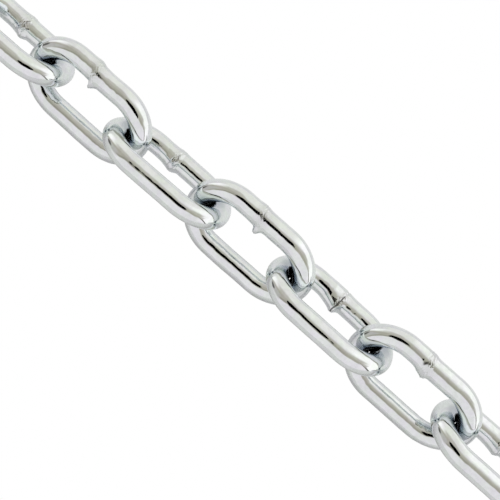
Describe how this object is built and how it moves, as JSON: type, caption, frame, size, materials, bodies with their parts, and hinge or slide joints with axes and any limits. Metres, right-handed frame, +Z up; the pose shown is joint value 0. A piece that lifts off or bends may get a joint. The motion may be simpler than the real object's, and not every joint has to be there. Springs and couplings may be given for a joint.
{
  "type": "welded steel chain",
  "caption": "Straight cut length of welded proof-coil steel chain, bright zinc plated, with interlinked oval links that swing on each other.",
  "frame": {"origin": "on the floor, under the middle of the chain's length and of its width with the welds", "axes": "+X along the chain, +Z up; the links lean 45 degrees to +Y and to -Y by turns"},
  "size_m": [0.3124, 0.0166, 0.0162],
  "materials": {
    "zinc_plated_steel": "bright zinc plate over drawn steel wire, glossy with soft reflections"
  },
  "bodies": {
    "link_01": {"link_01": "zinc_plated_steel"},
    "link_02": {"link_02": "zinc_plated_steel"},
    "link_03": {"link_03": "zinc_plated_steel"},
    "link_04": {"link_04": "zinc_plated_steel"},
    "link_05": {"link_05": "zinc_plated_steel"},
    "link_06": {"link_06": "zinc_plated_steel"},
    "link_07": {"link_07": "zinc_plated_steel"},
    "link_08": {"link_08": "zinc_plated_steel"},
    "link_09": {"link_09": "zinc_plated_steel"},
    "link_10": {"link_10": "zinc_plated_steel"},
    "link_11": {"link_11": "zinc_plated_steel"},
    "link_12": {"link_12": "zinc_plated_steel"}
  },
  "joints": [
    {"name": "swing_02", "type": "hinge", "parent": "link_01", "child": "link_02", "pos_m": [-0.1226, -0.0002, 0.00812], "axis": [0, -0.7071, 0.7071], "range_deg": [-130, 130]},
    {"name": "swing_03", "type": "hinge", "parent": "link_02", "child": "link_03", "pos_m": [-0.0975, -0.0002, 0.00812], "axis": [0, 0.7071, 0.7071], "range_deg": [-130, 130]},
    {"name": "swing_04", "type": "hinge", "parent": "link_03", "child": "link_04", "pos_m": [-0.0724, -0.0002, 0.00812], "axis": [0, 0.7071, -0.7071], "range_deg": [-130, 130]},
    {"name": "swing_05", "type": "hinge", "parent": "link_04", "child": "link_05", "pos_m": [-0.0473, -0.0002, 0.00812], "axis": [0, -0.7071, -0.7071], "range_deg": [-130, 130]},
    {"name": "swing_06", "type": "hinge", "parent": "link_05", "child": "link_06", "pos_m": [-0.0222, -0.0002, 0.00812], "axis": [0, -0.7071, 0.7071], "range_deg": [-130, 130]},
    {"name": "swing_07", "type": "hinge", "parent": "link_06", "child": "link_07", "pos_m": [0.0029, -0.0002, 0.00812], "axis": [0, 0.7071, 0.7071], "range_deg": [-130, 130]},
    {"name": "swing_08", "type": "hinge", "parent": "link_07", "child": "link_08", "pos_m": [0.028, -0.0002, 0.00812], "axis": [0, 0.7071, -0.7071], "range_deg": [-130, 130]},
    {"name": "swing_09", "type": "hinge", "parent": "link_08", "child": "link_09", "pos_m": [0.0531, -0.0002, 0.00812], "axis": [0, -0.7071, -0.7071], "range_deg": [-130, 130]},
    {"name": "swing_10", "type": "hinge", "parent": "link_09", "child": "link_10", "pos_m": [0.0782, -0.0002, 0.00812], "axis": [0, -0.7071, 0.7071], "range_deg": [-130, 130]},
    {"name": "swing_11", "type": "hinge", "parent": "link_10", "child": "link_11", "pos_m": [0.1033, -0.0002, 0.00812], "axis": [0, 0.7071, 0.7071], "range_deg": [-130, 130]},
    {"name": "swing_12", "type": "hinge", "parent": "link_11", "child": "link_12", "pos_m": [0.1284, -0.0002, 0.00812], "axis": [0, 0.7071, -0.7071], "range_deg": [-130, 130]}
  ]
}
